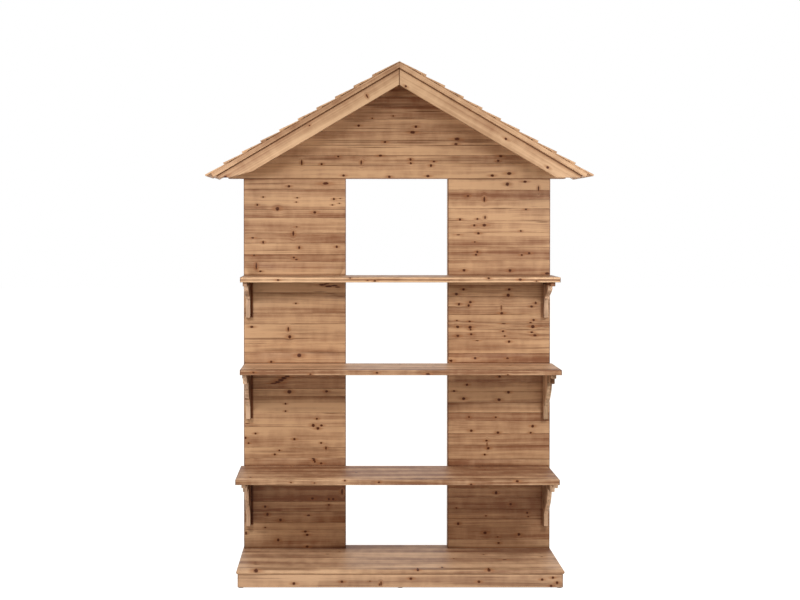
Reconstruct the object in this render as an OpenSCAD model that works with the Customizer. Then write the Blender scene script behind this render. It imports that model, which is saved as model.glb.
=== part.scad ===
// House-shaped bookcase in pale knotty softwood. Two plank walls with an open gap between them
// stand on a low plinth, under a pitched roof of lapped slats, and carry three shelves on shaped
// brackets. Millimetres, +Z up, front towards -Y, origin on the floor under the middle.

/* [Base] */
// Depth of the base top, front to back
base_d = 351; // [300:1:450]
// Thickness of the base top
base_top_t = 17; // [12:1:25]
// Height of the base top above the floor
base_h = 68; // [50:1:120]
// How far the base top stands out over the plinth, at the front and sides
lip = 5; // [2:1:12]
// Thickness of the plinth rails and bearers
rail_t = 18; // [12:1:24]
// Side of the square corner blocks inside the plinth
corner_block = 36; // [25:1:50]
// Half the distance between the two outer bearers, at their middles
bearer_x = 330; // [280:5:400]
// Diameter of the glides
glide_dia = 20; // [15:1:22]
// Height of the glides
glide_h = 3; // [2:0.5:6]
// Distance from the plinth's faces to the middle of a glide
glide_inset = 12; // [11:1:20]

/* [Walls] */
// Width over both plank walls, and of the plinth
walls_w = 1200; // [1000:5:1500]
// Width of the open gap between the walls
gap_w = 400; // [200:5:500]
// Height of the walls above the base top
wall_h = 1452; // [1300:1:1800]
// Thickness of the wall and gable planks
plank_t = 18; // [15:1:25]
// Widths of the left wall's planks from the top down, repeated
left_plank_widths = [42, 79, 33, 60, 39, 44, 29, 66, 55, 80];
// Widths of the right wall's planks from the top down, repeated
right_plank_widths = [45, 39, 33, 49, 46, 56, 52, 61, 36];
// Widths of the gable's planks from the bottom up, repeated
gable_plank_widths = [60, 31, 39, 55, 47, 52, 36];
// Joint between two planks
plank_gap = 0.3; // [0.2:0.1:1]
// Thickness of a plank's tongue
tongue_t = 6; // [4:0.5:7]
// Height of a plank's tongue
tongue_h = 5; // [3:0.5:7]
// Bevel along a plank's front edges
plank_bevel = 0.6; // [0.3:0.1:1.5]
// Width of the posts behind the walls
post_w = 45; // [36:1:60]
// Depth of the posts and of the gable's frame behind the planks
post_d = 32; // [25:1:45]

/* [Shelves] */
// How much longer a shelf is than the walls are wide
shelf_extra = 4; // [0:0.5:10]
// Thickness of the shelves
shelf_t = 19; // [15:1:25]
// Rounding of a shelf's front edges
shelf_round = 2.5; // [1:0.5:5]
// Height of each shelf's top above the base top: upper, middle, lower
shelf_heights = [1074, 728, 325];
// Depth of each shelf
shelf_depths = [200, 226, 266];
// Sideways offset of each shelf
shelf_offsets = [4, 5, -9];

/* [Brackets] */
// Thickness of the brackets
bracket_t = 18; // [15:1:24]
// Distance from a wall's outer edge to the outer face of its brackets
bracket_inset = 10; // [0:1:14]
// Distance from a shelf's front edge to the nose of its brackets
bracket_setback = 20; // [10:1:40]
// Height of each bracket: upper, middle, lower
bracket_heights = [148, 198, 214];
// Height of the nose under the shelf
nose_h = 16; // [8:1:20]
// Depth of a bracket's leg at its foot
leg_d = 28; // [22:1:34]
// Upper bracket: depth of the swell under its nose, and depth at the lower end of the swell
upper_swell_depths = [117, 52];
// Upper bracket: heights below the shelf where the swell starts to curve in, and where it ends
upper_swell_levels = [27, 70];
// Middle bracket: depth of the block under its nose, and of the belly under the block
middle_depths = [173, 112];
// Middle bracket: heights below the shelf of the lower end of the block, and of the belly
middle_levels_down = [40, 147];
// Lower bracket: depth of the block under its nose, and of the belly under the block
lower_depths = [175, 114];
// Lower bracket: heights below the shelf of the lower end of the block, and of the belly
lower_levels_down = [46, 165];

/* [Roof] */
// Slope of the roof
pitch = 30.5; // [25:0.5:35]
// How far the gable reaches past the walls on each side
gable_overhang = 60; // [30:1:100]
// Height of the gable's upright ends
gable_heel = 20; // [10:1:40]
// How far the lowest slats reach past the gable's ends, along the slope
eave_reach = 65.5; // [50:0.5:100]
// How far the roof boards reach out in front of the walls
roof_overhang = 208; // [150:1:280]
// Thickness of the roof boards
roof_board_t = 17; // [10:0.5:22]
// Number of roof boards in the depth of the roof
roof_board_count = 3; // [2:1:5]
// Distance along the slope from the lowest slat's edge back to the ends of the roof boards
eave_setback = 20; // [10:1:40]
// Width of the fascia boards
fascia_w = 55; // [45:1:70]
// Thickness of the fascia boards
fascia_t = 18; // [12:1:22]
// Distance from the roof boards' front edge back to the face of the fascia
fascia_setback = 12; // [2:0.5:15]
// How far the level cut of a fascia's foot lies under the wall tops
fascia_drop = 3; // [0:0.5:10]
// How far the fascias' ends stand out past the gable's ends
fascia_reach = 25; // [15:1:30]
// Distance from a fascia's end to the upper end of the left foot's second cut
foot_cut_from = 135; // [100:1:160]
// Distance from a fascia's end to the lower end of the left foot's second cut
foot_cut_to = 43; // [30:1:80]

/* [Slats] */
// Number of slats on each side
slat_count = 10; // [8:1:12]
// How far a slat laps over the next one down
slat_lap = 20; // [15:0.5:30]
// Thickness of a slat at its lower edge
slat_t = 7; // [6:0.5:10]
// Thickness of a slat at its upper edge
slat_head_t = 2; // [1:0.5:4]
// Distance along the slope from the ridge to the lower edge of the topmost slat
first_course = 102.5; // [80:0.5:120]
// How far the slats stand out in front of the roof boards
slat_proud = 2; // [0:0.5:5]

/* [Frame] */
// Height of the tie beam at the foot of the gable
tie_h = 45; // [35:1:60]
// Width of the rafters behind the gable
rafter_w = 45; // [35:1:55]
// Width of the king post
king_w = 45; // [35:1:60]
// Width of the ridge beam in front of the gable
ridge_beam_w = 30; // [24:1:40]
// Height of the ridge beam in front of the gable
ridge_beam_h = 38; // [30:1:40]
// Side of the square purlins under the eaves
purlin = 30; // [25:1:35]
// Distance along the slope from the roof boards' ends to the upper side of the purlins
purlin_from_eave = 141.5; // [120:0.5:180]

/* [Fasteners] */
// Shank diameter of the screws
screw_d = 4; // [3:0.5:5]
// Head diameter of the screws
screw_head_d = 8; // [6:0.5:9]
// Height of a screw's countersunk head
screw_head_h = 2.6; // [2:0.1:4]
// Thread length of a screw in the piece that it holds
screw_bite = 30; // [20:1:35]
// Thread length of a screw in a bracket's leg
bracket_bite = 15; // [10:1:18]
// Clearance of a screw in the piece that it passes through, all round
screw_clearance = 0.2; // [0.1:0.1:0.5]
// Shank diameter of the nails
nail_d = 1.8; // [1.2:0.1:2.5]
// Head diameter of the nails
nail_head_d = 3.6; // [3:0.1:5]
// Thickness of a nail's head
nail_head_h = 0.8; // [0.5:0.1:1.5]
// Length of a nail in the piece that it holds
nail_bite = 12; // [8:1:15]
// Distance from a slat's upper edge to its nails
slat_nail_inset = 9; // [6:1:14]
// Distance from a slat's ends to its outer nails
slat_nail_end = 25; // [15:1:60]
// Distance from the ridge and from the gable's ends to the outermost roof nails
roof_nail_end = 60; // [40:1:90]
// Number of roof nails along a rafter or a fascia
roof_nail_count = 4; // [3:1:8]
// Wood left over the tip of a screw in a plinth rail
rail_cover = 4; // [2:0.5:8]
// Wood left over the tip of a nail in a roof board
board_cover = 1; // [0.5:0.5:4]

/* [Hidden] */
$fn = 32;
wood = [0.73, 0.56, 0.42];
wood_pale = [0.83, 0.66, 0.50];
wood_warm = [0.68, 0.50, 0.36];
steel = [0.70, 0.70, 0.72];
dark_plastic = [0.20, 0.18, 0.17];

// Levels and planes
wall_top = base_h + wall_h;
back_y = base_d / 2;
wall_back_y = back_y - post_d;
wall_y = wall_back_y - plank_t;
roof_y = wall_y - roof_overhang;
slat_y = roof_y - slat_proud;
fascia_y = roof_y + fascia_setback;
fascia_back_y = fascia_y + fascia_t;

// Gable and roof
gable_x = walls_w / 2 + gable_overhang;
gable_rise = gable_heel + gable_x * tan(pitch);
ridge_z = wall_top + gable_rise;
gable_s = gable_x / cos(pitch);
eave_s = gable_s + eave_reach;
board_end_s = eave_s - eave_setback;
purlin_s = board_end_s - purlin_from_eave;
roof_board_d = (back_y - roof_y) / roof_board_count;
fascia_x = gable_x + fascia_reach;

// Plinth
plinth_x = walls_w / 2;
plinth_y = -base_d / 2 + lip;
rail_top = base_h - base_top_t;
bearer_places = [-bearer_x, 0, bearer_x];
glide_xs = [-plinth_x + glide_inset, 0, plinth_x - glide_inset];
glide_ys = [plinth_y + glide_inset, back_y - glide_inset];

// Posts and screws: the middle of each post, from left to right
outer_post_x = walls_w / 2 - post_w / 2;
inner_post_x = gap_w / 2 + post_w / 2;
post_places = [-outer_post_x, -inner_post_x, inner_post_x, outer_post_x];
post_screw_y = wall_back_y + (post_d - rail_t) / 2;
post_screw_spread = post_w / 4;
bracket_x = walls_w / 2 - bracket_inset - bracket_t / 2;
back_depth = post_d + plank_t;

// Shelf and bracket data, one entry for each: upper, middle, lower
shelf_l = walls_w + shelf_extra;
shelf_tops = [for (h = shelf_heights) base_h + h];
shelf_names = ["upper", "middle", "lower"];

// Slope geometry: s runs down the slope from the ridge, u stands square to it
function slope_x(s, u) = s * cos(pitch) + u * sin(pitch);
function slope_z(s, u) = ridge_z - s * sin(pitch) + u * cos(pitch);
function slope_point(s, u) = [slope_x(s, u), slope_z(s, u)];
function under_roof(x, drop = 0) = ridge_z - abs(x) * tan(pitch) - drop / cos(pitch);
function x_under_roof(z, drop = 0) = (ridge_z - drop / cos(pitch) - z) / tan(pitch);

// Lower edge of slat i, its upper edge, and its tilt against the slope. Slats are tapered, and each
// leans on the next one down; the lowest lies flat, and the topmost reaches up to the ridge.
slat_exposure = (eave_s - first_course) / (slat_count - 1);
slat_w = slat_exposure + slat_lap;
slat_taper = atan((slat_t - slat_head_t) / slat_w);
lap_tilt = asin(slat_t * cos(slat_taper) / slat_exposure) - slat_taper;
function slat_butt(i) = first_course + (i - 1) * slat_exposure;
function slat_back(i) = i == 1 ? -roof_board_t * tan(pitch) : slat_butt(i) - slat_w * cos(slat_tilt(i));
function slat_tilt(i) =
    i == slat_count ? 0 :
    i > 1 ? lap_tilt :
    atan(slat_face(2, slat_butt(1)) / (slat_butt(1) - slat_back(1)));
function slat_width(i) = (slat_butt(i) - slat_back(i)) / cos(slat_tilt(i));
// Height of a leaning slat's upper face above the roof boards at s, and a slat's thickness at x
// from its upper edge
function slat_face(i, s) = slat_head_t * cos(lap_tilt)
    + (s - slat_back(i) + slat_head_t * sin(lap_tilt)) * tan(lap_tilt + slat_taper);
function slat_t_at(i, x) = slat_head_t + (slat_t - slat_head_t) * x / slat_width(i);
// Distance from a slat's upper edge to its nails: the topmost one's stay clear of the ridge
function slat_nail_at(i) = slat_nail_inset + (i == 1 ? 2 * roof_board_t * tan(pitch) : 0);

// Front of a bracket under its nose, as depth from the wall against height below the shelf: an S
// curve that ends in a step, or a square block and a rounded belly that runs out into the leg
curve_steps = 10;
function swell_front(depths, levels) = concat(
    [[depths[0], nose_h]],
    [for (k = [0 : curve_steps]) let (f = k / curve_steps, swell = (1 + cos(180 * f)) / 2)
        [depths[1] + (depths[0] - depths[1]) * swell, levels[0] + (levels[1] - levels[0]) * f]],
    [[leg_d, levels[1]]]
);
function belly_front(depths, levels) = concat(
    [[depths[0], nose_h], [depths[0], levels[0]]],
    [for (k = [0 : curve_steps]) let (f = k / curve_steps)
        [leg_d + (depths[1] - leg_d) * cos(90 * f), levels[0] + (levels[1] - levels[0]) * f]]
);
bracket_fronts = [
    swell_front(upper_swell_depths, upper_swell_levels),
    belly_front(middle_depths, middle_levels_down),
    belly_front(lower_depths, lower_levels_down)
];

// Plank layout: widths repeated until the height is full; a last strip too thin joins its neighbour
min_plank = 22;
function planks(widths, left, i = 0) =
    left <= 0 ? [] :
    let (w = widths[i % len(widths)])
    left - w < min_plank ? [left] : concat([w], planks(widths, left - w, i + 1));
function sum_to(list, i) = i <= 0 ? 0 : list[i - 1] + sum_to(list, i - 1);
left_planks = planks(left_plank_widths, wall_h);
right_planks = planks(right_plank_widths, wall_h);
gable_planks_list = planks(gable_plank_widths, gable_rise);
gable_levels = [for (i = [0 : len(gable_planks_list) - 1])
    wall_top + sum_to(gable_planks_list, i) + gable_planks_list[i] / 2];

function middle_levels(list) = [for (i = [0 : len(list) - 1]) wall_top - sum_to(list, i) - list[i] / 2];

// ---------------------------------------------------------------- helpers

// A square-edged board between two corners
module board(low, high) {
    translate(low) cube(high - low);
}

// An outline in X and Z, carried from y0 back to y1
module carried(y0, y1) {
    translate([0, y1, 0]) rotate([90, 0, 0]) linear_extrude(y1 - y0) children();
}

// An outline in Y and Z, carried from x0 to x1
module sideways(x0, x1) {
    translate([x0, 0, 0]) rotate([90, 0, 90]) linear_extrude(x1 - x0) children();
}

// The right half as drawn, or its mirror image on the left
module on_side(side) {
    mirror([side == "left" ? 1 : 0, 0, 0]) children();
}

// A countersunk screw: head at the origin, shank along -Z
module screw(length) {
    rotate_extrude() polygon([
        [0, 0], [screw_head_d / 2, 0], [screw_d / 2, -screw_head_h],
        [screw_d / 2, -length + screw_d], [0, -length]
    ]);
}

// The hole that a screw passes through, as deep as given
module screw_hole(depth) {
    translate([0, 0, -depth - 1]) cylinder(h = depth + 2, d = screw_d + 2 * screw_clearance);
    translate([0, 0, -screw_head_h])
        cylinder(h = screw_head_h, d1 = screw_d, d2 = screw_head_d + 2 * screw_clearance);
}

// A nail: head at the origin, shank along -Z
module nail(length) {
    translate([0, 0, -nail_head_h]) cylinder(h = nail_head_h, d = nail_head_d);
    translate([0, 0, -length]) cylinder(h = length, d = nail_d);
}

// Turns a fastener that points down so that it enters the back face and points to the front
module from_back(x, z) {
    translate([x, back_y, z]) rotate([-90, 0, 0]) children();
}

// ---------------------------------------------------------------- base

module base_top() {
    r = base_top_t / 2;
    x = plinth_x + lip - r;
    y = -base_d / 2 + r;
    z = base_h - r;
    color(wood) union() {
        board([-x, y, rail_top], [x, back_y, base_h]);
        translate([-x, y, z]) rotate([0, 90, 0]) cylinder(h = 2 * x, r = r);
        for (side = [-1, 1]) {
            translate([side * x, y, z]) rotate([-90, 0, 0]) cylinder(h = back_y - y, r = r);
            translate([side * x, y, z]) sphere(r = r);
        }
    }
}

module base_front_rail() {
    color(wood) board([-plinth_x, plinth_y, glide_h], [plinth_x, plinth_y + rail_t, rail_top]);
}

module base_back_rail() {
    color(wood_warm) board([-plinth_x, back_y - rail_t, glide_h], [plinth_x, back_y, rail_top]);
}

module base_end_rail(side) {
    color(wood_warm) on_side(side)
        board([plinth_x - rail_t, plinth_y + rail_t, glide_h], [plinth_x, back_y - rail_t, rail_top]);
}

module base_bearers() {
    for (x = bearer_places)
        color(wood_warm) board([x - rail_t / 2, plinth_y + rail_t, glide_h],
                               [x + rail_t / 2, back_y - rail_t, rail_top]);
}

module base_corner_blocks() {
    x = plinth_x - rail_t;
    front = plinth_y + rail_t;
    back = back_y - rail_t;
    for (side = [-1, 1], y = [front, back - corner_block])
        color(wood_warm) translate([side > 0 ? x - corner_block : -x, y, glide_h])
            cube([corner_block, corner_block, rail_top - glide_h]);
}

module base_glides() {
    for (x = glide_xs, y = glide_ys)
        color(dark_plastic) translate([x, y, 0]) cylinder(h = glide_h, d = glide_dia);
}

// ---------------------------------------------------------------- walls

// Levels at which screws enter the posts from behind: the shelves, then the brackets
shelf_screw_levels = [for (top = shelf_tops) top - shelf_t / 2];
bracket_screw_levels = [for (i = [0 : 2], at = [nose_h + screw_head_d, bracket_heights[i] - leg_d])
    shelf_tops[i] - shelf_t - at];

// The screws through the posts: [x, level, length in the piece held]
post_screws = concat(
    [for (x = post_places, z = shelf_screw_levels) [x, z, screw_bite]],
    [for (x = [-bracket_x, bracket_x], z = bracket_screw_levels) [x, z, bracket_bite]]
);

module post(x) {
    color(wood_warm) difference() {
        board([x - post_w / 2, wall_back_y, base_h], [x + post_w / 2, back_y, wall_top]);
        for (s = post_screws)
            if (abs(s[0] - x) < post_w / 2) from_back(s[0], s[1]) screw_hole(post_d);
    }
}

// One tongued and grooved plank, seen from its end: front face to the left
module plank_outline(z0, z1, tongue, groove) {
    mid = wall_y + plank_t / 2;
    t = tongue_t / 2;
    g = tongue_t / 2 + plank_gap;
    polygon(concat(
        [[wall_y, z0 + plank_bevel], [wall_y, z1 - plank_bevel], [wall_y + plank_bevel, z1]],
        tongue ? [[mid - t, z1], [mid - t, z1 + tongue_h], [mid + t, z1 + tongue_h], [mid + t, z1]] : [],
        [[wall_back_y, z1], [wall_back_y, z0]],
        groove ? [[mid + g, z0], [mid + g, z0 + tongue_h + plank_gap],
                  [mid - g, z0 + tongue_h + plank_gap], [mid - g, z0]] : [],
        [[wall_y + plank_bevel, z0]]
    ));
}

module wall_planks(x0, x1, list) {
    last = len(list) - 1;
    for (i = [0 : last]) {
        top = wall_top - sum_to(list, i);
        color(i % 2 == 0 ? wood : wood_warm) difference() {
            sideways(x0, x1)
                plank_outline(top - list[i] + (i < last ? plank_gap : 0), top, i > 0, i < last);
            for (s = post_screws)
                if (s[0] > x0 && s[0] < x1 && abs(s[1] - top + list[i] / 2) < list[i] / 2 + screw_d)
                    from_back(s[0], s[1]) screw_hole(back_depth);
        }
    }
}

module gable_outline() {
    polygon([[-gable_x, wall_top], [gable_x, wall_top], [gable_x, under_roof(gable_x)],
             [0, ridge_z], [-gable_x, under_roof(gable_x)]]);
}

module gable_planks() {
    last = len(gable_planks_list) - 1;
    for (i = [0 : last]) {
        low = wall_top + sum_to(gable_planks_list, i);
        high = low + gable_planks_list[i] - (i < last ? plank_gap : 0);
        color(i % 2 == 0 ? wood_warm : wood) intersection() {
            sideways(-gable_x, gable_x) plank_outline(low, high, i < last, i > 0);
            carried(wall_y, wall_back_y) gable_outline();
        }
    }
}

// ---------------------------------------------------------------- gable frame and roof

module tie_beam() {
    low = x_under_roof(wall_top, rafter_w);
    high = x_under_roof(wall_top + tie_h, rafter_w);
    color(wood_warm) carried(wall_back_y, back_y)
        polygon([[-low, wall_top], [low, wall_top], [high, wall_top + tie_h], [-high, wall_top + tie_h]]);
}

module king_post() {
    x = king_w / 2;
    foot = wall_top + tie_h;
    color(wood_warm) carried(wall_back_y, back_y)
        polygon([[-x, foot], [x, foot], [x, under_roof(x, rafter_w)],
                 [0, under_roof(0, rafter_w)], [-x, under_roof(x, rafter_w)]]);
}

module rafter(side) {
    color(wood_warm) on_side(side) carried(wall_back_y, back_y)
        polygon([[0, ridge_z], [gable_x, under_roof(gable_x)], [gable_x, wall_top],
                 [x_under_roof(wall_top, rafter_w), wall_top], [0, under_roof(0, rafter_w)]]);
}

module ridge_beam() {
    x = ridge_beam_w / 2;
    foot = ridge_z - ridge_beam_h;
    color(wood_warm) carried(fascia_back_y, wall_y)
        polygon([[-x, foot], [x, foot], [x, under_roof(x)], [0, ridge_z], [-x, under_roof(x)]]);
}

module eave_purlin(side) {
    s = purlin_s;
    color(wood_warm) on_side(side) carried(fascia_back_y, wall_y)
        polygon([slope_point(s, 0), slope_point(s + purlin, 0),
                 slope_point(s + purlin, -purlin), slope_point(s, -purlin)]);
}

// The left foot has a second, flatter cut where the right one runs straight
module fascia(side) {
    foot = wall_top - fascia_drop;
    cut = fascia_x - foot_cut_from;
    color(wood_pale) on_side(side) carried(fascia_y, fascia_back_y)
        polygon(concat(
            [[0, ridge_z], [fascia_x, under_roof(fascia_x)], [fascia_x, foot]],
            side == "left" ?
                [[fascia_x - foot_cut_to, foot], [cut, under_roof(cut, fascia_w)]] :
                [[x_under_roof(foot, fascia_w), foot]],
            [[0, under_roof(0, fascia_w)]]
        ));
}

module roof_boards(side) {
    color(wood) on_side(side)
        for (i = [0 : roof_board_count - 1])
            carried(roof_y + i * roof_board_d + (i > 0 ? plank_gap : 0), roof_y + (i + 1) * roof_board_d)
                polygon([[0, ridge_z], [0, ridge_z + roof_board_t / cos(pitch)],
                         slope_point(board_end_s, roof_board_t), slope_point(board_end_s, 0)]);
}

// A slat lies on the roof board with its upper edge and on the next slat with its lower edge
module slat_outline(i) {
    run_up = i == 1 ? 2 * slat_t : 0;
    translate(slope_point(slat_back(i), roof_board_t)) rotate(slat_tilt(i) - pitch)
        polygon([[-run_up, 0], [slat_width(i), 0], [slat_width(i), slat_t], [-run_up, slat_head_t]]);
}

module slat(side, i) {
    color(i % 2 == 0 ? wood_pale : wood) on_side(side) carried(slat_y, back_y) intersection() {
        slat_outline(i);
        square([2 * eave_s, 2 * ridge_z]);
    }
}

// ---------------------------------------------------------------- shelves and brackets

module shelf_outline(depth, top) {
    r = shelf_round;
    steps = 4;
    front = wall_y - depth;
    polygon(concat(
        [[wall_y, top - shelf_t], [wall_y, top]],
        [for (k = [0 : steps]) let (a = 90 * k / steps)
            [front + r - r * sin(a), top - r + r * cos(a)]],
        [for (k = [0 : steps]) let (a = 90 * k / steps)
            [front + r - r * cos(a), top - shelf_t + r - r * sin(a)]]
    ));
}

module shelf(i) {
    color(wood) sideways(shelf_offsets[i] - shelf_l / 2, shelf_offsets[i] + shelf_l / 2)
        shelf_outline(shelf_depths[i], shelf_tops[i]);
}

// Outline of a bracket: a square nose, its own front under that, and a straight leg
module bracket_outline(reach, height, front) {
    points = concat([[0, 0], [reach, 0], [reach, nose_h]], front, [[leg_d, height], [0, height]]);
    polygon([for (p = points) [wall_y - p[0], -p[1]]]);
}

module bracket(side, i) {
    color(wood_pale) on_side(side) translate([0, 0, shelf_tops[i] - shelf_t])
        sideways(bracket_x - bracket_t / 2, bracket_x + bracket_t / 2)
            bracket_outline(shelf_depths[i] - bracket_setback, bracket_heights[i], bracket_fronts[i]);
}

// ---------------------------------------------------------------- fasteners

// Screws from behind into shelves, brackets, purlins and ridge beam, and down into the posts
module frame_screws() {
    purlin_middle = slope_point(purlin_s + purlin / 2, -purlin / 2);
    color(steel) {
        for (s = post_screws) from_back(s[0], s[1]) screw(back_depth + s[2]);
        for (side = [-1, 1])
            from_back(side * purlin_middle[0], purlin_middle[1]) screw(back_depth + screw_bite);
        from_back(0, ridge_z - ridge_beam_h / 2 - screw_d) screw(back_depth + screw_bite);
        for (x = [-outer_post_x, outer_post_x])
            translate([x, wall_back_y + post_d / 2, under_roof(x, screw_head_d / 2)])
                screw(under_roof(x) - wall_top + screw_bite);
        for (x = [-inner_post_x, inner_post_x])
            translate([x, wall_back_y + post_d / 2, wall_top + tie_h]) screw(tie_h + screw_bite);
    }
}

// Screws up through the base top into the posts, and sideways through the corner blocks
module base_screws() {
    block_mid = corner_block / 2;
    block_x = plinth_x - rail_t - corner_block;
    block_z = (glide_h + rail_top) / 2;
    bite = rail_t - rail_cover;
    color(steel) {
        for (x = post_places, dx = [-post_screw_spread, post_screw_spread])
            translate([x + dx, post_screw_y, rail_top]) rotate([180, 0, 0])
                screw(base_top_t + screw_bite);
        for (side = [-1, 1]) {
            for (y = [plinth_y + rail_t + block_mid, back_y - rail_t - block_mid])
                translate([side * block_x, y, block_z - screw_head_d]) rotate([0, side * -90, 0])
                    screw(corner_block + bite);
            translate([side * (block_x + block_mid), plinth_y + rail_t + corner_block, block_z + screw_head_d])
                rotate([-90, 0, 0]) screw(corner_block + bite);
            translate([side * (block_x + block_mid), back_y - rail_t - corner_block, block_z + screw_head_d])
                rotate([90, 0, 0]) screw(corner_block + bite);
        }
    }
}

// Nails from behind through the posts and the gable frame into each plank
module wall_nails() {
    color(steel) {
        for (x = [-outer_post_x, -inner_post_x], z = middle_levels(left_planks))
            from_back(x - post_w / 4, z) nail(post_d + nail_bite);
        for (x = [outer_post_x, inner_post_x], z = middle_levels(right_planks))
            from_back(x + post_w / 4, z) nail(post_d + nail_bite);
        for (z = gable_levels) {
            x = x_under_roof(z, rafter_w / 2);
            for (side = [-1, 1]) if (x > king_w) from_back(side * x, z) nail(post_d + nail_bite);
            if (z < under_roof(0, rafter_w)) from_back(king_w / 4, z) nail(post_d + nail_bite);
        }
    }
}

// Nails down through the roof boards into the rafters, the fascias, the purlins and the ridge beam
module roof_nails() {
    step = (gable_s - 2 * roof_nail_end) / (roof_nail_count - 1);
    rafter_nails = [for (k = [0 : roof_nail_count - 1]) roof_nail_end + k * step];
    color(steel) for (side = ["left", "right"]) on_side(side) {
        for (s = rafter_nails, y = [fascia_y + fascia_t / 2, back_y - post_d / 2])
            translate([slope_x(s, roof_board_t), y, slope_z(s, roof_board_t)]) rotate([0, pitch, 0])
                nail(roof_board_t + nail_bite);
        for (s = [screw_d * 2, purlin_s + purlin / 2], i = [0 : roof_board_count - 1]) {
            y = roof_y + (i + 0.5) * roof_board_d;
            if (y > fascia_back_y && y < wall_y)
                translate([slope_x(s, roof_board_t), y, slope_z(s, roof_board_t)]) rotate([0, pitch, 0])
                    nail(roof_board_t + nail_bite);
        }
    }
}

// Three nails along the upper edge of each slat, where the next slat covers them
module slat_nails() {
    ys = [slat_y + slat_nail_end, (slat_y + back_y) / 2, back_y - slat_nail_end];
    color(steel) for (side = ["left", "right"], i = [1 : slat_count], y = ys) {
        at = slat_nail_at(i);
        on_side(side) translate([slope_x(slat_back(i), roof_board_t), y, slope_z(slat_back(i), roof_board_t)])
            rotate([0, pitch - slat_tilt(i), 0]) translate([at, 0, slat_t_at(i, at)])
                nail(slat_t_at(i, at) + roof_board_t - board_cover);
    }
}

// ---------------------------------------------------------------- nodes

base_top();
base_front_rail();
base_back_rail();
base_end_rail("left");  // base_left_rail
base_end_rail("right");  // base_right_rail
base_bearers();
base_corner_blocks();
base_glides();
post(-outer_post_x);  // left_outer_post
post(-inner_post_x);  // left_inner_post
post(inner_post_x);  // right_inner_post
post(outer_post_x);  // right_outer_post
wall_planks(-walls_w / 2, -gap_w / 2, left_planks);  // left_wall_planks
wall_planks(gap_w / 2, walls_w / 2, right_planks);  // right_wall_planks
gable_planks();
tie_beam();
king_post();
rafter("left");  // left_rafter
rafter("right");  // right_rafter
ridge_beam();
eave_purlin("left");  // left_purlin
eave_purlin("right");  // right_purlin
fascia("left");  // left_fascia
fascia("right");  // right_fascia
roof_boards("left");  // left_roof_boards
roof_boards("right");  // right_roof_boards
for (i = [1 : slat_count], side = ["left", "right"])
    slat(side, i);
for (i = [0 : 2])
    shelf(i);
for (i = [0 : 2], side = ["left", "right"])
    bracket(side, i);
frame_screws();
base_screws();
wall_nails();
roof_nails();
slat_nails();
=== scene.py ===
# %% [markdown]
# # A house-shaped bookcase in knotty softwood
# The bookcase has two plank walls on a low plinth, three shelves on shaped brackets, and a pitched
# roof of lapped slats. All of it is wood, so most of this lesson is about boards: how to ease their
# edges, and how one solid wood texture can run through every board, with rings, streaks and knots
# that each board carries in its own mesh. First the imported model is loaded. It fixes every size.

# %% Load the frame
import math
import random

import bmesh
import bpy
from mathutils import Matrix, Vector


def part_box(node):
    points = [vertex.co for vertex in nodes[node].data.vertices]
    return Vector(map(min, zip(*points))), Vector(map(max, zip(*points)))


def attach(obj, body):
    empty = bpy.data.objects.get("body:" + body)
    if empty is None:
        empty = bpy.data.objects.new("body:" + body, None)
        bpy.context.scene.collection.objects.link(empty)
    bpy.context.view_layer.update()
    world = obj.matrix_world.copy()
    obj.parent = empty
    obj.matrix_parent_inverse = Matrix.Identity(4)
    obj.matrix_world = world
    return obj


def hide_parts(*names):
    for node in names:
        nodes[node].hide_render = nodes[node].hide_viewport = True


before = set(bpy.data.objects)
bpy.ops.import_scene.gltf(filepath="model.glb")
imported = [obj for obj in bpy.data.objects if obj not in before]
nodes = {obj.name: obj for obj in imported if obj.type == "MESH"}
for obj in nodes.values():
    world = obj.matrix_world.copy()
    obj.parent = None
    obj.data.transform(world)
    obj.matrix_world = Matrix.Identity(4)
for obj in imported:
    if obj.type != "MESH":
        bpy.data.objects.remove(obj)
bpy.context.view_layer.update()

# %% [markdown]
# ## Camera
# The picture was taken with a level camera: the uprights are parallel. A shifted lens keeps them so.
# A full shift would push the ridge out of the frame when the same camera looks from other sides, so
# part of it is a slight downward pitch, which bends the uprights by less than half a degree.

# %% Camera
IMAGE_W, IMAGE_H = 800, 600
SENSOR = 36.0
DISTANCE = 4.766        # from the camera to the front of the wall planks
FOCAL_PX = 1216.8       # focal length in pixels of the 800-pixel frame
EYE_X, EYE_Z = -0.2086, 1.3478
VANISH_X, VANISH_Y = 343.7, 222.6   # pixel that the lines running back meet at
SHIFT_Y = -0.078

wall_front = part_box("left_wall_planks")[0].y
camera = bpy.data.objects.new("camera", bpy.data.cameras.new("camera"))
bpy.context.scene.collection.objects.link(camera)
camera.data.sensor_width = SENSOR
camera.data.lens = FOCAL_PX * SENSOR / IMAGE_W
camera.data.shift_x = (IMAGE_W / 2 - VANISH_X) / IMAGE_W
camera.data.shift_y = SHIFT_Y
horizon_px = IMAGE_H / 2 - VANISH_Y + SHIFT_Y * IMAGE_W
pitch_down = math.atan(horizon_px / FOCAL_PX)
camera.location = (EYE_X, wall_front - DISTANCE, EYE_Z)
camera.rotation_euler = (math.pi / 2 - pitch_down, 0, 0)
bpy.context.scene.camera = camera
bpy.context.scene.view_settings.view_transform = "Standard"
print("lens", round(camera.data.lens, 2), "mm, pitch", round(math.degrees(pitch_down), 2), "degrees")

# %% [markdown]
# ## World and floor
# The object stands on white. Light Path's Is Camera Ray lets the floor and the world look white to
# the camera without pouring more light on the wood. The world itself is an even, slightly warm light
# that fills the shade. The floor glows a little less than white and keeps part of its own shading, so
# the bookcase still has a soft shadow.

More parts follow.
